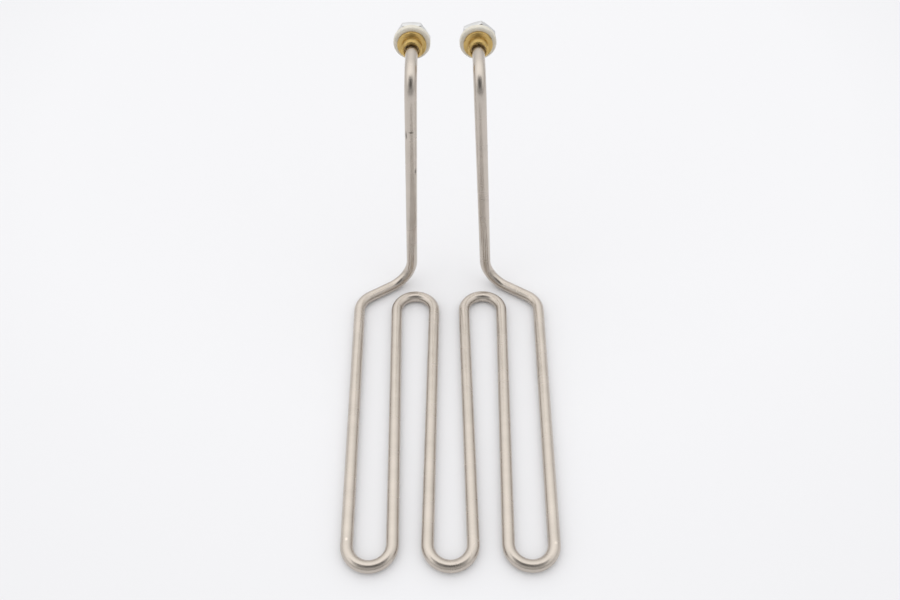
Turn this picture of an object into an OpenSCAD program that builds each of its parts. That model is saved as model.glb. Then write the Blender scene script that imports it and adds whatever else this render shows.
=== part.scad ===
// Tubular heating element for a deep fryer: one stainless tube bent into a flat W of six runs,
// two upright legs, and a brass tank fitting on each leg end. Millimetres, +Z up, the W lies on z = 0.
// -Y is the front, where the three front U-bends are; the terminals point to +Y.

/* [Tube] */
// Outside diameter of the sheath tube
tube_d = 8.5; // [8:0.5:9]
// Wall of the sheath tube
tube_wall = 0.7; // [0.5:0.1:1]
// Centre-line radius of the U-bends of the W
u_bend_r = 15; // [12:0.5:16]
// Centre-line radius of the shoulder and neck bends
bend_r = 17; // [12:0.5:18]
// Centre-line radius of the knee bends, where the legs rise
knee_r = 20; // [14:0.5:24]

/* [W shape] */
// Distance from the front U-bend centres to the rear ones
w_length = 198; // [150:0.5:260]
// Pitch of the front U-bend centres
front_pitch = 53; // [50:0.5:58]
// Pitch of the two rear U-bend centres
rear_pitch = 54; // [52:0.5:60]
// Half width over the two shoulder corners
shoulder_x = 72; // [68:0.5:78]
// Shoulder corners, measured rearwards from the rear U-bend centres
shoulder_back = 10; // [4:0.5:14]

/* [Legs] */
// Spacing of the two knee corners
knee_pitch = 61; // [54:0.5:70]
// Knees and legs, measured rearwards from the rear U-bend centres
leg_back = 36.5; // [32:0.5:44]
// Height of the terminal axes above the underside of the W
axis_height = 199.5; // [150:0.5:240]
// Offset of the left leg's top from the middle
left_top_x = 25; // [22:0.5:30]
// Offset of the right leg's top from the middle
right_top_x = 20.5; // [18:0.5:30]

/* [Tank fittings] */
// Front face of the fitting's flange, measured rearwards from the legs
flange_back = 38; // [32:0.5:50]
// Diameter of the flange
flange_d = 20; // [18:0.5:22]
// Thickness of the flange
flange_t = 2.5; // [1.5:0.5:3]
// Diameter of the threaded shank and of the hub in front of the flange
shank_d = 14; // [13:1:16]
// Length of the hub in front of the flange
hub_l = 6; // [3:0.5:8]
// Diameter of the recess around the tube in the hub
recess_d = 10.5; // [10:0.5:11]
// Depth of that recess, down to the braze
recess_depth = 2.5; // [1:0.5:4]
// Length of the shank behind the flange
shank_l = 13.5; // [13.5:0.5:20]
// Diameter of the white sealing washer
seal_d = 25.5; // [22:0.5:28]
// Thickness of the white sealing washer
seal_t = 4; // [2:0.5:5]
// Width across the flats of the lock nut
nut_af = 22; // [20:1:24]
// Thickness of the lock nut
nut_t = 5.5; // [4:0.5:6.5]

/* [Terminals] */
// Diameter of the terminal stud
stud_d = 4; // [3:0.5:5]
// Diameter of the ceramic insulator's head
insulator_d = 8.5; // [8.5:0.5:10]
// Thickness of the ceramic insulator's head
insulator_t = 2.2; // [2:0.1:4]
// Width across the flats of the terminal nut
stud_nut_af = 7; // [6:0.5:8]
// Thickness of the terminal nut
stud_nut_t = 3.2; // [2:0.1:4]
// Bare stud left behind the terminal nut
stud_free = 3; // [2:0.5:12]

/* [Inside the tube] */
// Diameter of the cold pin
pin_d = 2.5; // [2:0.1:3]
// Thickness of the resistance winding around the cold pin
coil_wall = 0.4; // [0.3:0.05:0.6]
// Height up the leg where the resistance coil ends
coil_top = 45; // [40:1:90]
// Length of pin inside the end of the coil
pin_overlap = 8; // [5:1:15]

/* [Hidden] */
$fn = 64;

tube_r = tube_d / 2;
bore_r = tube_r - tube_wall;
pin_r = pin_d / 2;
coil_r = pin_r + coil_wall;
stud_r = stud_d / 2;
shank_r = shank_d / 2;
stud_washer_t = 0.8;
braze_t = 0.8;
end_seal_l = 4;
spigot_l = 2;
// how far the sheath stands out of the shank
sheath_out = 0.5;

// how far each nut is turned from having a flat side up, clockwise as seen from the front
left_nut_turn = 0;
right_nut_turn = 40;
right_stud_nut_turn = 20;

// chamfers
hub_c = 0.6;
rim_c = 0.3;
shank_c = 1;
stud_c = 0.4;

// width and depth of the grooves that relieve the threads behind the nuts
relief_w = 0.6;
relief_depth = 0.3;

// the lengths of a tube end a hair short of each joint, and a short, thinner core bridges it,
// so that no two faces of a joint lie on each other
hair = 0.01;
core_l = 0.4;
core_drop = 0.1;

// distances along a fitting's axis, counted rearwards from the front face of the flange
shank_end = flange_t + shank_l;
sheath_end = shank_end + sheath_out;
fill_end = sheath_end - spigot_l - end_seal_l;
nut_end = flange_t + seal_t + nut_t;
braze_end = recess_depth + braze_t - hub_l;
head_end = sheath_end + insulator_t;
stud_nut_end = head_end + stud_washer_t + stud_nut_t;
stud_end = stud_nut_end + stud_free;

// the origin is under the middle of the overall size
y_front = -u_bend_r - tube_r;
y_back = w_length + leg_back + flange_back + stud_end;
front_y = -(y_front + y_back) / 2;
rear_y = front_y + w_length;
leg_y = rear_y + leg_back;
flange_y = leg_y + flange_back;

// straight line between two circles of radius u_bend_r that it crosses between,
// leaving the first circle on the side s: 1 is to the right of the way to the second
function cross_run(c1, c2, s) =
    let (d = c2 - c1, b = acos(2 * u_bend_r / norm(d)), a = atan2(d.y, d.x) - s * b,
         n = u_bend_r * [cos(a), sin(a), 0])
    [c1 + n, c2 - n];

// straight line from the right-hand side of a circle to a point
function side_run(c, p) =
    let (d = p - c, a = atan2(d.y, d.x) - acos(u_bend_r / norm(d)))
    c + u_bend_r * [cos(a), sin(a), 0];

// rounding of the corner v between the points a and b to the radius r: its start, centre and end
function corner(a, v, b, r) =
    let (p = (a - v) / norm(a - v), q = (b - v) / norm(b - v),
         half = acos(p * q) / 2, t = r / tan(half), m = (p + q) / norm(p + q))
    [v + t * p, v + m * r / sin(half), v + t * q];

// The way of the tube's centre line is a list of steps: two points are a straight length, three
// are a bend with its start, centre and end, and a fourth value marks a bend of more than half a turn.
function middle_bend() =
    let (p = cross_run(front_centre(0), rear_centre(), 1)[0])
    [[-p.x, p.y, p.z], front_centre(0), p, 1];
function front_centre(x) = [x, front_y, tube_r];
function rear_centre() = [rear_pitch / 2, rear_y, tube_r];
function shoulder() = [shoulder_x, rear_y + shoulder_back, tube_r];
function knee() = [knee_pitch / 2, leg_y, tube_r];
function neck(x) = [x, leg_y, axis_height];
function knee_bend(x) = corner(shoulder(), knee(), neck(x), knee_r);
function neck_bend(x) = corner(knee(), neck(x), neck(x) + [0, 1, 0], bend_r);
function up_leg(x, z) = knee() + (neck(x) - knee()) * (z - tube_r) / (axis_height - tube_r);
function on_axis(x, y) = [x, flange_y + y, axis_height];

// right-hand half of the W and the foot of its leg, from the middle bend up to the height z
function heated_way(x, z) =
    let (inner = cross_run(front_centre(0), rear_centre(), 1),
         outer = cross_run(front_centre(front_pitch), rear_centre(), -1),
         side = side_run(front_centre(front_pitch), shoulder()),
         s = corner(side, shoulder(), knee(), bend_r), k = knee_bend(x))
    [inner, [inner[1], rear_centre(), outer[1], 1], [outer[1], outer[0]],
     [outer[0], front_centre(front_pitch), side, 1], [side, s[0]], s, [s[2], k[0]], k,
     [k[2], up_leg(x, z + hair)]];

// from the height z on a leg over the neck to the place y on the fitting's axis
function cold_way(x, z, y) =
    let (n = neck_bend(x))
    [[up_leg(x, z - hair), n[0]], n, [n[2], on_axis(x, y + hair)]];

function whole_way(x, y) =
    let (h = heated_way(x, coil_top), c = cold_way(x, coil_top, y))
    concat([for (i = [0 : len(h) - 2]) h[i]], [[h[len(h) - 1][0], c[0][1]], c[1], c[2]]);

// the same way on the left-hand side, walked the other way round
function on_left(way) =
    [for (s = way) let (p = [for (i = [min(len(s), 3) - 1 : -1 : 0]) [-s[i].x, s[i].y, s[i].z]])
        len(s) == 4 ? concat(p, [1]) : p];

module along(way, r) {
    for (s = way)
        if (len(s) == 2) straight(s[0], s[1], r);
        else bend(s[0], s[1], s[2], len(s) == 4, r);
}

module straight(p, q, r) {
    v = q - p;
    translate(p)
        rotate([0, acos(v.z / norm(v)), atan2(v.y, v.x)])
            translate([0, 0, hair])
                cylinder(h = norm(v) - 2 * hair, r = r);
}

module bend(p, c, q, long, r) {
    big = norm(p - c);
    x = (p - c) / big;
    n = cross(x, q - c) / norm(cross(x, q - c)) * (long ? -1 : 1);
    y = cross(n, x);
    short_turn = acos(x * (q - c) / big);
    turn = long ? 360 - short_turn : short_turn;
    multmatrix([[x.x, y.x, n.x, c.x], [x.y, y.y, n.y, c.y], [x.z, y.z, n.z, c.z], [0, 0, 0, 1]]) {
        rotate_extrude(angle = turn) translate([big, 0]) circle(r = r);
        for (a = [0, turn])
            rotate([0, 0, a])
                translate([big, core_l / 2, 0])
                    rotate([90, 0, 0]) cylinder(h = core_l, r = r - core_drop);
    }
}

// the middle bend and both halves, each half with its own way
module both_halves(left_way, right_way, r) {
    m = middle_bend();
    bend(m[0], m[1], m[2], true, r);
    along(on_left(left_way), r);
    along(right_way, r);
}

module whole_tube(r, y) {
    both_halves(whole_way(left_top_x, y), whole_way(right_top_x, y), r);
}

module coil_space() {
    both_halves(heated_way(left_top_x, coil_top), heated_way(right_top_x, coil_top), coil_r);
}

// places a piece of a fitting: its axis runs rearwards from the front face of the flange
module at_flange(x) {
    translate([x, flange_y, axis_height]) rotate([-90, 0, 0]) children();
}

// turned ring between two radii and two places on its axis, with chamfered outer edges
module ring(r1, r2, z1, z2, c = 0) {
    rotate_extrude()
        polygon([[r1, z1], [r2 - c, z1], [r2, z1 + c], [r2, z2 - c], [r2 - c, z2], [r1, z2]]);
}

module hex_nut(af, t, r, turn) {
    big = af / sqrt(3);
    bevel = (big - af / 2) * tan(30);
    rotate([0, 0, turn])
        difference() {
            intersection() {
                cylinder(h = t, r = big, $fn = 6);
                rotate_extrude()
                    polygon([[0, 0], [af / 2, 0], [big, bevel], [big, t - bevel], [af / 2, t], [0, t]]);
            }
            translate([0, 0, -1]) cylinder(h = t + 2, r = r);
        }
}

module sheath() {
    color("#b9b2a6")
        difference() {
            whole_tube(tube_r, sheath_end);
            whole_tube(bore_r, sheath_end + 1);
        }
}

module magnesia_fill() {
    color("#efece4")
        difference() {
            whole_tube(bore_r, fill_end);
            coil_space();
            both_pins(fill_end + 1);
        }
}

// the winding as a solid rod, with a socket in each end for the cold pin
module resistance_coil() {
    color("#8b8780")
        difference() {
            coil_space();
            both_pins(fill_end);
        }
}

// pins from inside the ends of the coil, up the legs and over the necks to the terminal studs
module left_pin(y) {
    color("#c9c6be") along(on_left(cold_way(left_top_x, coil_top - pin_overlap, y)), pin_r);
}

module right_pin(y) {
    color("#c9c6be") along(cold_way(right_top_x, coil_top - pin_overlap, y), pin_r);
}

module both_pins(y) {
    left_pin(y);
    right_pin(y);
}

module terminal_stud(x) {
    color("#c4c6c8")
        at_flange(x)
            rotate_extrude()
                polygon([
                    [0, fill_end], [stud_r - stud_c, fill_end], [stud_r, fill_end + stud_c],
                    [stud_r, stud_nut_end], [stud_r - relief_depth, stud_nut_end],
                    [stud_r - relief_depth, stud_nut_end + relief_w],
                    [stud_r, stud_nut_end + relief_w],
                    [stud_r, stud_end - stud_c], [stud_r - stud_c, stud_end], [0, stud_end]
                ]);
}

module fitting(x) {
    recess_r = recess_d / 2;
    flange_r = flange_d / 2;
    color("#b8924a")
        at_flange(x)
            rotate_extrude()
                polygon([
                    [recess_r, -hub_l], [shank_r - hub_c, -hub_l], [shank_r, hub_c - hub_l],
                    [shank_r, 0], [flange_r - rim_c, 0], [flange_r, rim_c],
                    [flange_r, flange_t - rim_c], [flange_r - rim_c, flange_t], [shank_r, flange_t],
                    [shank_r, nut_end], [shank_r - relief_depth, nut_end],
                    [shank_r - relief_depth, nut_end + relief_w], [shank_r, nut_end + relief_w],
                    [shank_r, shank_end - shank_c], [shank_r - shank_c, shank_end],
                    [tube_r, shank_end], [tube_r, braze_end], [recess_r, braze_end]
                ]);
}

module braze(x) {
    color("#9a8f76") at_flange(x) ring(tube_r, recess_d / 2, braze_end - braze_t, braze_end);
}

module seal_washer(x) {
    color("#ddd8cb") at_flange(x) ring(shank_r, seal_d / 2, flange_t, flange_t + seal_t, hub_c);
}

module lock_nut(x, turn) {
    color("#bfc3c6")
        at_flange(x) translate([0, 0, flange_t + seal_t]) hex_nut(nut_af, nut_t, shank_r, turn);
}

module end_seal(x) {
    color("#cfc9bd")
        at_flange(x)
            ring(stud_r, bore_r, fill_end, fill_end + end_seal_l);
}

module insulator(x) {
    color("#f1efe9")
        at_flange(x) {
            ring(stud_r, bore_r, sheath_end - spigot_l, sheath_end);
            ring(stud_r, insulator_d / 2, sheath_end, head_end, stud_c);
        }
}

module stud_washer(x) {
    color("#c4c6c8") at_flange(x) ring(stud_r, insulator_d / 2, head_end, head_end + stud_washer_t);
}

module stud_nut(x, turn) {
    color("#c4c6c8")
        at_flange(x)
            translate([0, 0, head_end + stud_washer_t])
                hex_nut(stud_nut_af, stud_nut_t, stud_r, turn);
}

sheath();
magnesia_fill();
resistance_coil();
left_pin(fill_end);  // left_cold_pin
right_pin(fill_end);  // right_cold_pin
terminal_stud(-left_top_x);  // left_terminal_stud
terminal_stud(right_top_x);  // right_terminal_stud
fitting(-left_top_x);  // left_fitting
fitting(right_top_x);  // right_fitting
braze(-left_top_x);  // left_braze
braze(right_top_x);  // right_braze
seal_washer(-left_top_x);  // left_seal_washer
seal_washer(right_top_x);  // right_seal_washer
lock_nut(-left_top_x, left_nut_turn);  // left_lock_nut
lock_nut(right_top_x, right_nut_turn);  // right_lock_nut
end_seal(-left_top_x);  // left_end_seal
end_seal(right_top_x);  // right_end_seal
insulator(-left_top_x);  // left_insulator
insulator(right_top_x);  // right_insulator
stud_washer(-left_top_x);  // left_stud_washer
stud_washer(right_top_x);  // right_stud_washer
stud_nut(-left_top_x, left_nut_turn);  // left_stud_nut
stud_nut(right_top_x, right_stud_nut_turn);  // right_stud_nut
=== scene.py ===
"""The looks of a fryer's tubular heating element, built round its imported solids."""

import math

import bpy
import bmesh
from bpy.props import FloatProperty, FloatVectorProperty, IntProperty, PointerProperty
from mathutils import Matrix, Vector


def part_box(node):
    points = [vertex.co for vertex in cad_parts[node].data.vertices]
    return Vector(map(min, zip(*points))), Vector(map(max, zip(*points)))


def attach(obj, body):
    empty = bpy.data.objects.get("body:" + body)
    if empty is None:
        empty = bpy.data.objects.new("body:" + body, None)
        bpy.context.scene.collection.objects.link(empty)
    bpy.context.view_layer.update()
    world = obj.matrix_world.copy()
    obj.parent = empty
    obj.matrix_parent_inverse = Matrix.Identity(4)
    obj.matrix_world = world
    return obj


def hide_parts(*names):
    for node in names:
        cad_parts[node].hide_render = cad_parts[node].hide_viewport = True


bl_info = {
    "name": "Fryer heating element",
    "version": (1, 0, 0),
    "blender": (4, 5, 0),
    "location": "View3D > Sidebar > Element",
    "description": "Builds the pieces and finishes of a tubular heating element",
    "category": "Add Mesh",
}

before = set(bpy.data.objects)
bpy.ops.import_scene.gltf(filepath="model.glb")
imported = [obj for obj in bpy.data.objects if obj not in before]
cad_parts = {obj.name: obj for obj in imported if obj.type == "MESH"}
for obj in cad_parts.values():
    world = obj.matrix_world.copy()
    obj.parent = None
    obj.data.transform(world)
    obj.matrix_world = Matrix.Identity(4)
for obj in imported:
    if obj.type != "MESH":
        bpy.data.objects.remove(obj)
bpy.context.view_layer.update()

ROOT = "root"
# places in the way of the tube, counted from the left-hand end
LEFT_LEG, LEFT_SIDE_RUN, LEFT_REAR_BEND, RIGHT_REAR_BEND, RIGHT_SIDE_RUN = 2, 6, 9, 13, 16
# how far the nuts on the left and on the right are turned from having a corner up
LOCK_NUT_TURNS = (math.radians(30), math.radians(10))
STUD_NUT_TURNS = (math.radians(30), math.radians(50))

# the places of the two fittings' axes, read from the flanges' solids
AXES = {}
for side in ("left", "right"):
    low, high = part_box(side + "_fitting")
    AXES[side] = ((low.x + high.x) / 2, (low.z + high.z) / 2)
HUB_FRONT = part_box("left_fitting")[0].y


def mm(value):
    """Millimetres as metres."""
    return value / 1000.0


def span(name):
    """Front and back of a solid on the left-hand axis, in mm behind the hub's front."""
    low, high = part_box("left_" + name)
    return round((low.y - HUB_FRONT) / mm(1), 2), round((high.y - HUB_FRONT) / mm(1), 2)


def linear(code):
    """An sRGB hex value such as "#b9b2a6" as linear red, green, blue and alpha."""
    def channel(c):
        return c / 12.92 if c <= 0.04045 else ((c + 0.055) / 1.055) ** 2.4
    return tuple(channel(int(code[i:i + 2], 16) / 255.0) for i in (1, 3, 5)) + (1.0,)


def length(name, description, value):
    """A length that a user can change, its default in mm."""
    return FloatProperty(name=name, description=description, default=mm(value), unit="LENGTH")


class ElementSizes(bpy.types.PropertyGroup):
    """Sizes of the tube and its fittings."""
    tube_diameter: length("Tube diameter", "Outside diameter of the sheath tube", 8.5)
    tube_wall: length("Tube wall", "Wall of the sheath tube", 0.7)
    u_bend_radius: length("U-bend radius", "Centre-line radius of the bends of the W", 15)
    bend_radius: length("Bend radius", "Centre-line radius of the shoulders and necks", 17)
    knee_radius: length("Knee radius", "Centre-line radius of the knees", 20)
    w_length: length("W length", "Front U-bend centres to the rear ones", 198)
    front_pitch: length("Front pitch", "Pitch of the front U-bend centres", 53)
    rear_pitch: length("Rear pitch", "Pitch of the rear U-bend centres", 54)
    shoulder_x: length("Shoulder", "Half width over the shoulder corners", 72)
    shoulder_back: length("Shoulder back", "Shoulder corners behind the rear centres", 10)
    knee_pitch: length("Knee pitch", "Spacing of the knee corners", 61)
    leg_back: length("Leg back", "Legs behind the rear centres", 36.5)
    shank_diameter: length("Shank diameter", "Diameter of the hub and the threaded shank", 14)
    flange_diameter: length("Flange diameter", "Diameter of the fitting's flange", 20)
    flange_thickness: length("Flange thickness", "Thickness of the fitting's flange", 2.5)
    recess_diameter: length("Recess diameter", "Diameter of the recess round the tube", 10.5)
    seal_diameter: length("Seal diameter", "Diameter of the white sealing washers", 25.5)
    nut_flats: length("Nut flats", "Width across the flats of the lock nuts", 22)
    stud_diameter: length("Stud diameter", "Diameter of the terminal studs", 4)
    stud_nut_flats: length("Stud nut flats", "Width across the flats of the terminal nuts", 7)
    sides: IntProperty(
        name="Sides", description="Edges round the tube", default=48, min=12, max=96)
    bend_step: FloatProperty(
        name="Bend step", description="Turn between two rings of a bend",
        default=math.radians(5), subtype="ANGLE")


class ElementColours(bpy.types.PropertyGroup):
    """Main colours of the finishes."""
    steel: FloatVectorProperty(
        name="Stainless steel", description="Colour of the satin tube", size=4,
        subtype="COLOR", default=linear("#c9c0b6"))
    brass: FloatVectorProperty(
        name="Brass", description="Colour of the turned fittings", size=4,
        subtype="COLOR", default=linear("#dcbc77"))
    seal: FloatVectorProperty(
        name="Seal washer", description="Colour of the white washers", size=4,
        subtype="COLOR", default=linear("#e1dccf"))
    zinc: FloatVectorProperty(
        name="Zinc plating", description="Colour of the nuts and studs", size=4,
        subtype="COLOR", default=linear("#e0e0df"))


# Way of the tube

def way_of_tube(sizes):
    """Steps from the left-hand tube end to the right-hand one, as in the part's source.

    Two points are a straight length; three are a bend with its start, centre and end, and True
    after them marks a bend of more than half a turn."""
    tube_r, u_r = sizes.tube_diameter / 2, sizes.u_bend_radius
    sheath_low, sheath_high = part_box("sheath")
    front_y = sheath_low.y + u_r + tube_r
    rear_y = front_y + sizes.w_length
    leg_y = rear_y + sizes.leg_back
    axis_z = AXES["right"][1]

    def cross_run(c1, c2, hand):
        d = c2 - c1
        a = math.atan2(d.y, d.x) - hand * math.acos(2 * u_r / d.length)
        n = Vector((math.cos(a), math.sin(a), 0)) * u_r
        return c1 + n, c2 - n

    def corner(a, v, b, r):
        p, q = (a - v).normalized(), (b - v).normalized()
        half = p.angle(q) / 2
        t = r / math.tan(half)
        return v + p * t, v + (p + q).normalized() * (r / math.sin(half)), v + q * t

    def half_way(top_x):
        middle = Vector((0, front_y, tube_r))
        front = Vector((sizes.front_pitch, front_y, tube_r))
        rear = Vector((sizes.rear_pitch / 2, rear_y, tube_r))
        shoulder = Vector((sizes.shoulder_x, rear_y + sizes.shoulder_back, tube_r))
        knee = Vector((sizes.knee_pitch / 2, leg_y, tube_r))
        neck = Vector((top_x, leg_y, axis_z))
        inner = cross_run(middle, rear, 1)
        outer = cross_run(front, rear, -1)
        d = shoulder - front
        a = math.atan2(d.y, d.x) - math.acos(u_r / d.length)
        side = front + Vector((math.cos(a), math.sin(a), 0)) * u_r
        s = corner(side, shoulder, knee, sizes.bend_radius)
        k = corner(shoulder, knee, neck, sizes.knee_radius)
        n = corner(knee, neck, neck + Vector((0, 1, 0)), sizes.bend_radius)
        end = Vector((top_x, sheath_high.y, axis_z))
        return [inner, (inner[1], rear, outer[1], True), (outer[1], outer[0]),
                (outer[0], front, side, True), (side, s[0]), s, (s[2], k[0]), k,
                (k[2], n[0]), n, (n[2], end)]

    def mirrored(step):
        points = [Vector((-p.x, p.y, p.z)) for p in step[:3] if isinstance(p, Vector)]
        return tuple(reversed(points)) + ((True,) if len(step) == 4 else ())

    right = half_way(AXES["right"][0])
    left = half_way(-AXES["left"][0])
    start = right[0][0]
    middle_bend = (Vector((-start.x, start.y, start.z)), Vector((0, front_y, tube_r)), start, True)
    return [mirrored(s) for s in reversed(left)] + [middle_bend] + right


# Modelling helpers

def to_object_mode():
    if bpy.context.object and bpy.context.object.mode != "OBJECT":
        bpy.ops.object.mode_set(mode="OBJECT")
    bpy.ops.object.select_all(action="DESELECT")


def active(piece):
    to_object_mode()
    piece.select_set(True)
    bpy.context.view_layer.objects.active = piece


def apply_place(piece):
    active(piece)
    bpy.ops.object.transform_apply(location=True, rotation=True, scale=True)


def ring_start(name, sides, radius, centre, direction, roll=0.0):
    """A circle of edges across a direction, in edit mode with all of it selected."""
    to_object_mode()
    turn = Vector((0, 0, 1)).rotation_difference(direction).to_matrix() @ Matrix.Rotation(roll, 3, "Z")
    bpy.ops.mesh.primitive_circle_add(
        vertices=sides, radius=radius, location=centre, rotation=turn.to_euler(), fill_type="NOTHING")
    piece = bpy.context.object
    piece.name = piece.data.name = name
    apply_place(piece)
    bpy.ops.object.mode_set(mode="EDIT")
    bpy.ops.mesh.select_all(action="SELECT")
    return piece


def turned(name, profile, sides=64, solid=False):
    """A piece turned about +Z: rings are drawn out along its profile of (radius, height) in mm."""
    r, z = profile[0]
    piece = ring_start(name, sides, mm(r), (0, 0, mm(z)), Vector((0, 0, 1)))
    if solid:
        bpy.ops.mesh.edge_face_add()
    for r2, z2 in profile[1:] + ([] if solid else profile[:1]):
        bpy.ops.mesh.extrude_region_move(TRANSFORM_OT_translate={"value": (0, 0, mm(z2 - z))})
        bpy.ops.transform.resize(value=(r2 / r, r2 / r, 1), center_override=(0, 0, mm(z2)))
        r, z = r2, z2
    bpy.ops.mesh.select_all(action="SELECT")
    bpy.ops.mesh.remove_doubles(threshold=mm(0.001))
    bpy.ops.mesh.normals_make_consistent(inside=False)
    bpy.ops.object.mode_set(mode="OBJECT")
    return piece


def cut(piece, tool, operation):
    """Applies a boolean modifier with a tool body, which is then deleted."""
    active(piece)
    modifier = piece.modifiers.new("cut", "BOOLEAN")
    modifier.operation, modifier.object, modifier.solver = operation, tool, "EXACT"
    bpy.ops.object.modifier_apply(modifier=modifier.name)
    bpy.data.objects.remove(tool)


def soften(piece, width, angle=30.0, segments=2):
    """Rounds the edges sharper than an angle and shades the rest smooth."""
    active(piece)
    modifier = piece.modifiers.new("edges", "BEVEL")
    modifier.width, modifier.segments = mm(width), segments
    modifier.limit_method, modifier.angle_limit = "ANGLE", math.radians(angle)
    modifier.harden_normals = False
    bpy.ops.object.modifier_apply(modifier=modifier.name)
    bpy.ops.object.shade_smooth_by_angle(angle=math.radians(40))


def hex_nut(name, flats, height, bore, bevel):
    """A hexagon nut standing on z = 0: both faces chamfered to the flats, bore mouths countersunk."""
    corner_r = flats / math.sqrt(3)
    to_object_mode()
    bpy.ops.mesh.primitive_cylinder_add(
        vertices=6, radius=mm(corner_r), depth=mm(height), location=(0, 0, mm(height / 2)))
    nut = bpy.context.object
    nut.name = nut.data.name = name
    apply_place(nut)
    drop = (corner_r - flats / 2) * math.tan(math.radians(30))
    body = turned("tool", [(flats / 2 - 0.2, 0), (corner_r + 0.2, drop + 0.15),
                           (corner_r + 0.2, height - drop - 0.15), (flats / 2 - 0.2, height)],
                  96, solid=True)
    cut(nut, body, "INTERSECT")
    thread = bore / 14 + 0.4
    hole = turned("tool", [(bore + thread, -0.1), (bore, thread), (bore, height - thread),
                           (bore + thread, height + 0.1)], 48, solid=True)
    cut(nut, hole, "DIFFERENCE")
    soften(nut, bevel, 25)
    return nut


def threaded(r, start, end, pitch, depth):
    """Profile points of a thread cut into a shank, from one height to another."""
    points = []
    z = start
    while z + pitch <= end:
        points += [(r, z), (r - depth, z + pitch * 0.5), (r, z + pitch * 0.9)]
        z += pitch
    return points


def place(piece, side, distance, turn=0.0):
    """Lays a turned piece on a fitting's axis, a distance in metres behind the hub's front."""
    x, z = AXES[side]
    piece.location = (x, HUB_FRONT + distance, z)
    piece.rotation_euler = Matrix.Rotation(-math.pi / 2, 3, "X").to_euler()
    if turn:
        piece.rotation_euler = (
            Matrix.Rotation(-math.pi / 2, 3, "X") @ Matrix.Rotation(turn, 3, "Z")).to_euler()
    apply_place(piece)


def finish_piece(piece, material, node):
    """Gives a piece its material, hangs it under the root and hides the solid that it stands for."""
    piece.data.materials.clear()
    piece.data.materials.append(material)
    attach(piece, ROOT)
    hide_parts(node)


def pair(piece, name, distance, turns=(0.0, 0.0)):
    """The same piece for both sides, each with a mesh of its own."""
    other = piece.copy()
    other.data = piece.data.copy()
    bpy.context.scene.collection.objects.link(other)
    for side, part, turn in (("left", piece, turns[0]), ("right", other, turns[1])):
        part.name = part.data.name = f"{side}_{name}_piece"
        place(part, side, distance, turn)
    return {"left": piece, "right": other}


# Materials

def node(tree, kind, links=(), **settings):
    """Adds a node with its settings; links are (input name or number, socket) pairs."""
    made = tree.nodes.new(kind)
    for key, value in settings.items():
        if key.startswith("in_"):
            name = key[3:]
            made.inputs[int(name) if name.isdigit() else name.replace("_", " ")].default_value = value
        else:
            setattr(made, key, value)
    for target, socket in links:
        tree.links.new(socket, made.inputs[target])
    return made


def new_material(name, **settings):
    """A material with its principled shader's own values set; returns it, its tree and shader."""
    material = bpy.data.materials.new(name)
    material.use_nodes = True
    shader = material.node_tree.nodes["Principled BSDF"]
    for key, value in settings.items():
        shader.inputs[key.replace("_", " ")].default_value = value
    return material, material.node_tree, shader


def shade(colour, factor):
    """A linear colour made darker or lighter."""
    return tuple(c * factor for c in colour[:3]) + (1.0,)


def mottled(tree, pattern, dark, light):
    """Colour that goes from dark to light over the middle values of a noise pattern."""
    share = node(tree, "ShaderNodeMapRange", [("Value", pattern)], in_From_Min=0.3, in_From_Max=0.7)
    return node(tree, "ShaderNodeMix", [(0, share.outputs[0])], data_type="RGBA",
                in_6=dark, in_7=light).outputs[2]


def spots(tree, place_of, marks):
    """1 on each small mark and 0 elsewhere; a mark is its point, its width and its height in mm."""
    masks = []
    for centre, width, height in marks:
        scale = Vector((2 / mm(width), 2 / mm(width), 2 / mm(height)))
        near = node(tree, "ShaderNodeMapping", [("Vector", place_of)], in_Scale=scale,
                    in_Location=Vector([-c * k for c, k in zip(centre, scale)]))
        away = node(tree, "ShaderNodeVectorMath", [(0, near.outputs[0])], operation="LENGTH")
        masks.append(node(tree, "ShaderNodeMapRange", [("Value", away.outputs["Value"])],
                          interpolation_type="SMOOTHSTEP", in_From_Min=0.2, in_From_Max=1.3,
                          in_To_Min=1.0, in_To_Max=0.0).outputs[0])
    while len(masks) > 1:
        masks.append(node(tree, "ShaderNodeMath", [(0, masks.pop(0)), (1, masks.pop(0))],
                          operation="MAXIMUM").outputs[0])
    return masks[0]


def on_left_leg(way, tube_r, height, bearing):
    """Point of the left leg's surface: its height in mm, its bearing in degrees from the front."""
    top, foot = way[LEFT_LEG]
    out = Vector((math.sin(math.radians(bearing)), -math.cos(math.radians(bearing)), 0))
    return top.lerp(foot, (top.z - mm(height)) / (top.z - foot.z)) + out * tube_r


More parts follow.
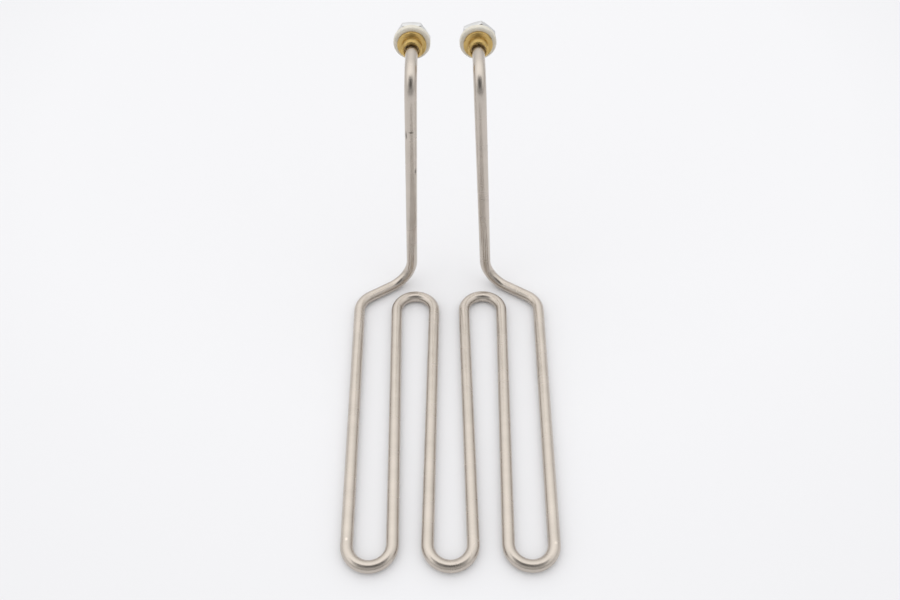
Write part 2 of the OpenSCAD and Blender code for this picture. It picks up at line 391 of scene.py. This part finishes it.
def satin_stainless(colour, way, sizes):
    """Annealed stainless tube, drawn and pickled: satin, slightly warm, with fine marks along it."""
    material, tree, shader = new_material("drawn_stainless_steel", Metallic=1.0, Roughness=0.3)
    along = node(tree, "ShaderNodeAttribute", attribute_name="straightened").outputs["Vector"]
    place_of = node(tree, "ShaderNodeTexCoord").outputs["Object"]
    tube_r = sizes.tube_diameter / 2
    # drawing marks: a few tenths of a millimetre wide and some 30 mm long
    marks_at = node(tree, "ShaderNodeMapping", [("Vector", along)], in_Scale=(30, 3000, 3000))
    marks = node(tree, "ShaderNodeTexNoise", [("Vector", marks_at.outputs[0])],
                 in_Scale=1.0, in_Detail=3.0).outputs["Fac"]
    # cloudy tone from annealing, about 10 mm across
    cloud_at = node(tree, "ShaderNodeMapping", [("Vector", along)], in_Scale=(60, 130, 130))
    cloud = node(tree, "ShaderNodeTexNoise", [("Vector", cloud_at.outputs[0])],
                 in_Scale=1.0, in_Detail=4.0).outputs["Fac"]
    tone = mottled(tree, cloud, shade(colour, 0.92), shade(colour, 1.04))
    # wear: dark nicks in the left leg; and a painted highlight, a lighter base colour standing in for a glint,
    # where each outer run bends
    nicks = spots(tree, place_of, [
        (on_left_leg(way, tube_r, 158.5, 4), 4.0, 1.8),
        (on_left_leg(way, tube_r, 155, -50), 2.0, 8.0),
        (on_left_leg(way, tube_r, 122, 50), 2.0, 6.0)])
    up = Vector((0, 0, tube_r))
    painted_glints = spots(tree, place_of, [
        (way[LEFT_SIDE_RUN][1] + up + Vector((0, mm(2.5), 0)), 2.4, 2.0),
        (way[RIGHT_SIDE_RUN][0] + up + Vector((mm(0.8), mm(-0.8), 0)), 2.4, 2.0)])
    # painted highlight: the steel's base colour is made lighter at these spots, in place of glints
    bright = node(tree, "ShaderNodeMix", [(0, painted_glints), (6, tone)], data_type="RGBA",
                  in_7=shade(colour, 1.25)).outputs[2]
    worn = node(tree, "ShaderNodeMix", [(0, nicks), (6, bright)], data_type="RGBA",
                in_7=shade(colour, 0.35)).outputs[2]
    tree.links.new(worn, shader.inputs["Base Color"])
    rough = node(tree, "ShaderNodeMapRange", [("Value", marks)], in_To_Min=0.22, in_To_Max=0.32)
    tree.links.new(rough.outputs[0], shader.inputs["Roughness"])
    fine = node(tree, "ShaderNodeBump", [("Height", marks)], in_Strength=0.08, in_Distance=mm(0.03))
    # the inner sides of the rear bends are lightly rippled, every 3 mm, where the die pushed them
    inner = []
    for bend in (LEFT_REAR_BEND, RIGHT_REAR_BEND):
        away = node(tree, "ShaderNodeVectorMath", [(0, place_of)], operation="DISTANCE",
                    in_1=way[bend][1])
        inner.append(node(tree, "ShaderNodeMapRange", [("Value", away.outputs["Value"])],
                          in_From_Min=sizes.u_bend_radius - tube_r, in_From_Max=sizes.u_bend_radius,
                          in_To_Min=1.0, in_To_Max=0.0).outputs[0])
    inside = node(tree, "ShaderNodeMath", [(0, inner[0]), (1, inner[1])], operation="MAXIMUM")
    run = node(tree, "ShaderNodeSeparateXYZ", [("Vector", along)]).outputs["X"]
    turn = node(tree, "ShaderNodeMath", [(0, run)], operation="MULTIPLY", in_1=math.tau / mm(3))
    wave = node(tree, "ShaderNodeMath", [(0, turn.outputs[0])], operation="SINE")
    ripple = node(tree, "ShaderNodeMath", [(0, wave.outputs[0]), (1, inside.outputs[0])],
                  operation="MULTIPLY")
    rippled = node(tree, "ShaderNodeBump", [("Height", ripple.outputs[0]), ("Normal", fine.outputs[0])],
                   in_Strength=0.3, in_Distance=mm(0.025))
    tree.links.new(rippled.outputs[0], shader.inputs["Normal"])
    return material


def on_axis(tree, side):
    """Object coordinates centred on a fitting's axis."""
    place_of = node(tree, "ShaderNodeTexCoord").outputs["Object"]
    x, z = AXES[side]
    return node(tree, "ShaderNodeVectorMath", operation="SUBTRACT", in_1=(x, HUB_FRONT, z),
                links=[(0, place_of)]).outputs[0]


def turning_marks(tree, centred, spacing):
    """Noise in rings about the axis and along it, spacing in mm, as a lathe tool leaves."""
    apart = node(tree, "ShaderNodeSeparateXYZ", [("Vector", centred)])
    flat = node(tree, "ShaderNodeCombineXYZ", [("X", apart.outputs["X"]), ("Y", apart.outputs["Z"])])
    radius = node(tree, "ShaderNodeVectorMath", [(0, flat.outputs[0])], operation="LENGTH")
    rings = node(tree, "ShaderNodeCombineXYZ",
                 [("X", radius.outputs["Value"]), ("Y", apart.outputs["Y"])])
    return node(tree, "ShaderNodeTexNoise", [("Vector", rings.outputs[0])],
                in_Scale=1000.0 / spacing, in_Detail=2.0).outputs["Fac"]


def turned_brass(colour, side):
    """Turned free-cutting brass, bright, with fine rings from the tool and a little tarnish."""
    material, tree, shader = new_material(
        f"turned_brass_{side}", Metallic=1.0, Anisotropic=0.8, Anisotropic_Rotation=0.25)
    centred = on_axis(tree, side)
    # the tool's grooves run round the axis, so that the light spreads across them
    round_axis = node(tree, "ShaderNodeVectorMath", [(1, centred)], operation="CROSS_PRODUCT",
                      in_0=(0, 1, 0))
    tree.links.new(round_axis.outputs[0], shader.inputs["Tangent"])
    rings = turning_marks(tree, centred, 0.25)
    tarnish = node(tree, "ShaderNodeTexNoise", [("Vector", centred)], in_Scale=180.0, in_Detail=4.0)
    tone = mottled(tree, tarnish.outputs["Fac"], shade(colour, 0.72), shade(colour, 1.0))
    tree.links.new(tone, shader.inputs["Base Color"])
    rough = node(tree, "ShaderNodeMapRange", [("Value", rings)], in_To_Min=0.2, in_To_Max=0.34)
    tree.links.new(rough.outputs[0], shader.inputs["Roughness"])
    bump = node(tree, "ShaderNodeBump", [("Height", rings)], in_Strength=0.25, in_Distance=mm(0.02))
    tree.links.new(bump.outputs[0], shader.inputs["Normal"])
    return material


def moulded_white(colour):
    """White sealing washer, smooth and slightly translucent."""
    material, tree, shader = new_material(
        "white_washer_plastic", Roughness=0.45, IOR=1.4, Subsurface_Weight=0.15,
        Subsurface_Radius=(0.8, 0.7, 0.6), Subsurface_Scale=mm(1.0))
    place_of = node(tree, "ShaderNodeTexCoord").outputs["Object"]
    mottle = node(tree, "ShaderNodeTexNoise", [("Vector", place_of)], in_Scale=220.0, in_Detail=4.0)
    tone = mottled(tree, mottle.outputs["Fac"], shade(colour, 0.93), shade(colour, 1.0))
    tree.links.new(tone, shader.inputs["Base Color"])
    grain = node(tree, "ShaderNodeTexNoise", [("Vector", place_of)], in_Scale=2500.0, in_Detail=2.0)
    bump = node(tree, "ShaderNodeBump", [("Height", grain.outputs["Fac"])],
                in_Strength=0.1, in_Distance=mm(0.02))
    tree.links.new(bump.outputs[0], shader.inputs["Normal"])
    return material


def plain_metal(name, colour, roughness, grain):
    """Plated or drawn metal with a fine even grain, grain in mm."""
    material, tree, shader = new_material(name, Metallic=1.0, Roughness=roughness)
    place_of = node(tree, "ShaderNodeTexCoord").outputs["Object"]
    fine = node(tree, "ShaderNodeTexNoise", [("Vector", place_of)],
                in_Scale=1000.0 / grain, in_Detail=3.0)
    tone = mottled(tree, fine.outputs["Fac"], shade(colour, 0.92), shade(colour, 1.0))
    tree.links.new(tone, shader.inputs["Base Color"])
    rough = node(tree, "ShaderNodeMapRange", [("Value", fine.outputs["Fac"])],
                 in_To_Min=roughness - 0.06, in_To_Max=roughness + 0.08)
    tree.links.new(rough.outputs[0], shader.inputs["Roughness"])
    return material


def plain_solid(name, colour, roughness, grain):
    """Ceramic, powder or resin with an even speckle, grain in mm."""
    material, tree, shader = new_material(name, Roughness=roughness)
    place_of = node(tree, "ShaderNodeTexCoord").outputs["Object"]
    fine = node(tree, "ShaderNodeTexNoise", [("Vector", place_of)],
                in_Scale=1000.0 / grain, in_Detail=3.0)
    tone = mottled(tree, fine.outputs["Fac"], shade(linear(colour), 0.9), linear(colour))
    tree.links.new(tone, shader.inputs["Base Color"])
    bump = node(tree, "ShaderNodeBump", [("Height", fine.outputs["Fac"])],
                in_Strength=0.2, in_Distance=mm(0.03))
    tree.links.new(bump.outputs[0], shader.inputs["Normal"])
    return material


# Operators

class ELEMENT_OT_sheath(bpy.types.Operator):
    """Builds the sheath tube by drawing a ring along the runs and spinning it round the bends"""
    bl_idname = "element.sheath"
    bl_label = "Sheath tube"

    def execute(self, context):
        sizes = context.scene.element_sizes
        colours = context.scene.element_colours
        way = way_of_tube(sizes)
        start, after = way[0][0], way[0][1]
        piece = ring_start("sheath_tube_piece", sizes.sides, sizes.tube_diameter / 2,
                           start, (after - start).normalized())
        mesh = bmesh.from_edit_mesh(piece.data)
        layer = mesh.verts.layers.float_vector.new("straightened")
        # place on the straightened tube: round it now, along it as the rings are added
        axis_x = next(iter(mesh.verts)).co - start
        direction = (after - start).normalized()
        axis_y = direction.cross(axis_x)
        for v in mesh.verts:
            out = v.co - start
            v[layer] = Vector((0, out.dot(axis_x), out.dot(axis_y))) / axis_x.length
            v[layer] = Vector((0, v[layer].y * sizes.tube_diameter / 2, v[layer].z * sizes.tube_diameter / 2))
        bmesh.update_edit_mesh(piece.data)
        run = 0.0
        for step in way:
            if len(step) == 2:
                length = (step[1] - step[0]).length
                parts = max(1, round(length / mm(8)))
                for _ in range(parts):
                    bpy.ops.mesh.extrude_region_move(
                        TRANSFORM_OT_translate={"value": (step[1] - step[0]) / parts})
                    run += length / parts
                    self.mark(piece, run)
            else:
                p, c, q = step[:3]
                normal = (p - c).cross(q - c).normalized()
                turn = (p - c).angle(q - c)
                if len(step) == 4:
                    normal, turn = -normal, math.tau - turn
                parts = max(2, round(turn / sizes.bend_step))
                for _ in range(parts):
                    # spin turns against the right-hand rule
                    bpy.ops.mesh.spin(steps=1, angle=-turn / parts, center=c, axis=normal)
                    run += turn / parts * (p - c).length
                    self.mark(piece, run)
        bpy.ops.mesh.select_all(action="SELECT")
        bpy.ops.mesh.normals_make_consistent(inside=False)
        bpy.ops.object.mode_set(mode="OBJECT")
        active(piece)
        wall = piece.modifiers.new("wall", "SOLIDIFY")
        wall.thickness, wall.offset, wall.use_even_offset = sizes.tube_wall, -1.0, True
        bpy.ops.object.modifier_apply(modifier=wall.name)
        bpy.ops.object.shade_smooth_by_angle(angle=math.radians(40))
        finish_piece(piece, satin_stainless(colours.steel, way, sizes), "sheath")
        return {"FINISHED"}

    @staticmethod
    def mark(piece, run):
        """Writes the length so far into the newest ring."""
        mesh = bmesh.from_edit_mesh(piece.data)
        layer = mesh.verts.layers.float_vector["straightened"]
        for v in mesh.verts:
            if v.select:
                v[layer].x = run
        bmesh.update_edit_mesh(piece.data)


class ELEMENT_OT_fittings(bpy.types.Operator):
    """Turns the two brass fittings and fills their recesses with braze"""
    bl_idname = "element.fittings"
    bl_label = "Tank fittings"

    def execute(self, context):
        colours = context.scene.element_colours
        sizes = context.scene.element_sizes
        end = span("fitting")[1]
        seal = span("seal_washer")[0]
        braze_front, braze_back = span("braze")
        r, flange_r, recess_r, tube_r = (value / mm(2) for value in (
            sizes.shank_diameter, sizes.flange_diameter, sizes.recess_diameter, sizes.tube_diameter))
        flange = seal - sizes.flange_thickness / mm(1)
        thread, depth, edge = 1.0, 0.55, 0.3
        profile = [(recess_r, edge / 2), (recess_r + edge / 2, 0), (r - 0.6, 0), (r, 0.6),
                   (r, flange - 0.1), (r + 0.1, flange), (flange_r - edge, flange),
                   (flange_r, flange + edge), (flange_r, seal - edge), (flange_r - edge, seal), (r, seal)]
        profile += threaded(r, seal + edge, end - thread, thread, depth)
        profile += [(r - thread, end), (tube_r, end), (tube_r, braze_back), (recess_r, braze_back)]
        fittings = pair(turned("fitting", profile, 96), "fitting", 0.0)
        # the braze climbs a little where it wets the tube and the wall
        braze = turned("braze", [
            (tube_r, braze_back), (tube_r, braze_front - 0.3), (tube_r + 0.2, braze_front),
            (recess_r - 0.3, braze_front + 0.1), (recess_r, braze_front - 0.1),
            (recess_r, braze_back)], 96)
        active(braze)
        bpy.ops.object.shade_smooth()
        brazes = pair(braze, "braze", 0.0)
        for side in ("left", "right"):
            soften(fittings[side], 0.06, 35)
            finish_piece(fittings[side], turned_brass(colours.brass, side), side + "_fitting")
            finish_piece(brazes[side], plain_metal("silver_braze_" + side, linear("#f0dcb4"), 0.5, 0.3),
                         side + "_braze")
        return {"FINISHED"}


class ELEMENT_OT_seal_washers(bpy.types.Operator):
    """Makes the two white sealing washers"""
    bl_idname = "element.seal_washers"
    bl_label = "Seal washers"

    def execute(self, context):
        sizes = context.scene.element_sizes
        front, back = span("seal_washer")
        bore, r, edge = sizes.shank_diameter / mm(2), sizes.seal_diameter / mm(2), 0.6
        washer = turned("washer", [(bore, front), (r - edge, front), (r, front + edge),
                                   (r, back - edge), (r - edge, back), (bore, back)], 96)
        soften(washer, 0.35, 20, 3)
        for side, piece in pair(washer, "seal_washer", 0.0).items():
            finish_piece(piece, moulded_white(context.scene.element_colours.seal),
                         side + "_seal_washer")
        return {"FINISHED"}


class ELEMENT_OT_lock_nuts(bpy.types.Operator):
    """Makes the two lock nuts, a flat up on the left and a corner up on the right"""
    bl_idname = "element.lock_nuts"
    bl_label = "Lock nuts"

    def execute(self, context):
        sizes = context.scene.element_sizes
        front, back = span("lock_nut")
        nut = hex_nut("nut", sizes.nut_flats / mm(1), back - front, sizes.shank_diameter / mm(2), 0.15)
        for side, piece in pair(nut, "lock_nut", mm(front), LOCK_NUT_TURNS).items():
            finish_piece(piece, plain_metal("zinc_plating_" + side, context.scene.element_colours.zinc, 0.32, 0.6),
                         side + "_lock_nut")
        return {"FINISHED"}


class ELEMENT_OT_terminals(bpy.types.Operator):
    """Makes the ceramic insulators and the terminal studs with their washers and nuts"""
    bl_idname = "element.terminals"
    bl_label = "Terminals"

    def execute(self, context):
        zinc = context.scene.element_colours.zinc
        sizes = context.scene.element_sizes
        r, bore = sizes.stud_diameter / mm(2), sizes.tube_diameter / mm(2) - sizes.tube_wall / mm(1)
        head_r, edge = sizes.tube_diameter / mm(2), 0.4
        spigot, head_end = span("insulator")
        head = round((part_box("sheath")[1].y - HUB_FRONT) / mm(1), 2)
        washer_end = span("stud_washer")[1]
        nut_end = span("stud_nut")[1]
        foot, tip = span("terminal_stud")
        ceramic = turned("insulator", [
            (r, spigot), (bore, spigot), (bore, head), (head_r - edge, head), (head_r, head + edge),
            (head_r, head_end - edge), (head_r - edge, head_end), (r, head_end)], 64)
        soften(ceramic, 0.15, 25)
        washer = turned("washer", [(r, head_end), (head_r, head_end), (head_r, washer_end), (r, washer_end)], 64)
        soften(washer, 0.08, 30)
        thread, depth = 0.7, 0.38
        stud = turned("stud", [(r - edge, foot), (r, foot + edge), (r, head)]
                      + threaded(r, head, tip - edge, thread, depth)
                      + [(r, tip - edge), (r - edge, tip)], 48, solid=True)
        soften(stud, 0.03, 35, 1)
        nut = hex_nut("nut", sizes.stud_nut_flats / mm(1), nut_end - washer_end, r, 0.08)
        material = plain_metal("zinc_plated_terminal", zinc, 0.3, 0.4)
        glaze = plain_solid("unglazed_steatite", "#efece4", 0.5, 0.5)
        for made, name, distance, turns, finish, slot in (
                (ceramic, "insulator", 0.0, (0.0, 0.0), glaze, "insulator_ceramic"),
                (washer, "stud_washer", 0.0, (0.0, 0.0), material, "plated_steel"),
                (stud, "terminal_stud", 0.0, (0.0, 0.0), material, "plated_steel"),
                (nut, "stud_nut", mm(washer_end), STUD_NUT_TURNS, material, "plated_steel")):
            for side, piece in pair(made, name, distance, turns).items():
                finish_piece(piece, finish, side + "_" + name)
        return {"FINISHED"}


class ELEMENT_OT_inner_parts(bpy.types.Operator):
    """Gives the solids inside the tube their finishes"""
    bl_idname = "element.inner_parts"
    bl_label = "Inner parts"

    def execute(self, context):
        powder = plain_solid("packed_magnesia", "#ece8de", 0.9, 0.3)
        wire = plain_metal("resistance_wire", linear("#8b8780"), 0.4, 0.5)
        pin = plain_metal("drawn_pin_steel", linear("#b5b2ab"), 0.35, 0.5)
        resin = plain_solid("end_seal_resin", "#cfc9bd", 0.4, 0.6)
        for names, material in ((("magnesia_fill",), powder), (("resistance_coil",), wire),
                                (("left_cold_pin", "right_cold_pin"), pin),
                                (("left_end_seal", "right_end_seal"), resin)):
            for name in names:
                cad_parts[name].data.materials.clear()
                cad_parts[name].data.materials.append(material)
        return {"FINISHED"}


class ELEMENT_OT_stage(bpy.types.Operator):
    """Sets the pale floor, the light tent and the camera"""
    bl_idname = "element.stage"
    bl_label = "Stage"

    def execute(self, context):
        to_object_mode()
        bpy.ops.mesh.primitive_plane_add(size=30.0, location=(0, 0, 0))
        floor = bpy.context.object
        floor.name = "floor"
        material, tree, shader = new_material("pale_paper_floor", Roughness=0.9)
        shader.inputs["Specular IOR Level"].default_value = 0.1
        # painted shade: the sheet's colour is a little darker away from the object, standing in for the light
        # falling off towards the corners
        place_of = node(tree, "ShaderNodeTexCoord").outputs["Object"]
        away = node(tree, "ShaderNodeVectorMath", [(0, place_of)], operation="DISTANCE",
                    in_1=(0, 0.35, 0))
        outer = node(tree, "ShaderNodeMapRange", [("Value", away.outputs["Value"])],
                     in_From_Min=0.4, in_From_Max=0.85)
        paper_with_painted_shade = node(tree, "ShaderNodeMix", [(0, outer.outputs[0])], data_type="RGBA",
                     in_6=linear("#ebebed"), in_7=linear("#e1e1e3"))
        tree.links.new(paper_with_painted_shade.outputs[2], shader.inputs["Base Color"])
        floor.data.materials.append(material)

        world = bpy.data.worlds.new("light_tent")
        context.scene.world = world
        world.use_nodes = True
        tree = world.node_tree
        background = tree.nodes["Background"]
        direction = node(tree, "ShaderNodeTexCoord").outputs["Generated"]
        apart = node(tree, "ShaderNodeSeparateXYZ", [("Vector", direction)])
        # the tent is brighter overhead and on the left, and dimmer on the open side in front
        height = node(tree, "ShaderNodeMapRange", [("Value", apart.outputs["Z"])],
                      in_From_Min=0.0, in_From_Max=0.95, in_To_Min=0.66, in_To_Max=1.42)
        across = node(tree, "ShaderNodeMapRange", [("Value", apart.outputs["X"])],
                      in_From_Min=-1.0, in_To_Min=1.1, in_To_Max=0.9)
        depth = node(tree, "ShaderNodeMapRange", [("Value", apart.outputs["Y"])],
                     interpolation_type="SMOOTHSTEP", in_From_Min=-0.9, in_From_Max=-0.3,
                     in_To_Min=0.55, in_To_Max=1.0)
        walls = node(tree, "ShaderNodeMath", [(0, height.outputs[0]), (1, across.outputs[0])],
                     operation="MULTIPLY")
        lit = node(tree, "ShaderNodeMath", [(0, walls.outputs[0]), (1, depth.outputs[0])],
                   operation="MULTIPLY")
        tree.links.new(lit.outputs[0], background.inputs["Strength"])
        background.inputs["Color"].default_value = (1.0, 1.0, 1.0, 1.0)

        camera = bpy.data.objects.new("camera", bpy.data.cameras.new("camera"))
        context.scene.collection.objects.link(camera)
        camera.data.lens, camera.data.sensor_width = 34.4, 36.0
        place_at = Vector((-0.00162, -0.379825, 0.53827))
        aim = Vector((0.00086, 0.073215, 0.00017))
        camera.location = place_at
        camera.rotation_euler = (aim - place_at).to_track_quat("-Z", "Y").to_euler()
        context.scene.camera = camera

        # the camera and whoever holds it are dark, and only the metal sees them
        view = camera.rotation_euler.to_matrix()
        bpy.ops.mesh.primitive_plane_add(
            size=1.0, rotation=camera.rotation_euler,
            location=place_at + view @ Vector((0, mm(40), mm(40))))
        figure = bpy.context.object
        figure.name = "dark_figure"
        figure.scale = (mm(1000), mm(640), 1)
        figure.visible_camera = figure.visible_diffuse = figure.visible_shadow = False
        material, tree, shader = new_material("dark_cloth", Roughness=0.9)
        place_of = node(tree, "ShaderNodeTexCoord").outputs["Object"]
        away = node(tree, "ShaderNodeVectorMath", [(0, place_of)], operation="LENGTH")
        outer = node(tree, "ShaderNodeMapRange", [("Value", away.outputs["Value"])],
                     interpolation_type="SMOOTHSTEP", in_From_Min=0.05, in_From_Max=0.5)
        cloth = node(tree, "ShaderNodeMix", [(0, outer.outputs[0])], data_type="RGBA",
                     in_6=linear("#3a3835"), in_7=linear("#b4b4b4"))
        tree.links.new(cloth.outputs[2], shader.inputs["Base Color"])
        figure.data.materials.append(material)
        context.scene.view_settings.view_transform = "Standard"
        return {"FINISHED"}


class ELEMENT_PT_panel(bpy.types.Panel):
    """Lists the pieces in the sidebar"""
    bl_label = "Heating element"
    bl_idname = "ELEMENT_PT_panel"
    bl_space_type = "VIEW_3D"
    bl_region_type = "UI"
    bl_category = "Element"

    def draw(self, context):
        for group in (context.scene.element_sizes, context.scene.element_colours):
            for name in group.bl_rna.properties.keys():
                if name not in ("rna_type", "name"):
                    self.layout.prop(group, name)
        for operator in PIECES:
            self.layout.operator(operator.bl_idname)


PIECES = (ELEMENT_OT_sheath, ELEMENT_OT_fittings, ELEMENT_OT_seal_washers, ELEMENT_OT_lock_nuts,
          ELEMENT_OT_terminals, ELEMENT_OT_inner_parts, ELEMENT_OT_stage)
CLASSES = (ElementSizes, ElementColours) + PIECES + (ELEMENT_PT_panel,)


def register():
    for item in CLASSES:
        bpy.utils.register_class(item)
    bpy.types.Scene.element_sizes = PointerProperty(type=ElementSizes)
    bpy.types.Scene.element_colours = PointerProperty(type=ElementColours)


def unregister():
    del bpy.types.Scene.element_colours
    del bpy.types.Scene.element_sizes
    for item in reversed(CLASSES):
        bpy.utils.unregister_class(item)


def main():
    register()
    bpy.ops.element.sheath()
    bpy.ops.element.fittings()
    bpy.ops.element.seal_washers()
    bpy.ops.element.lock_nuts()
    bpy.ops.element.terminals()
    bpy.ops.element.inner_parts()
    bpy.ops.element.stage()


if __name__ == "__main__":
    main()
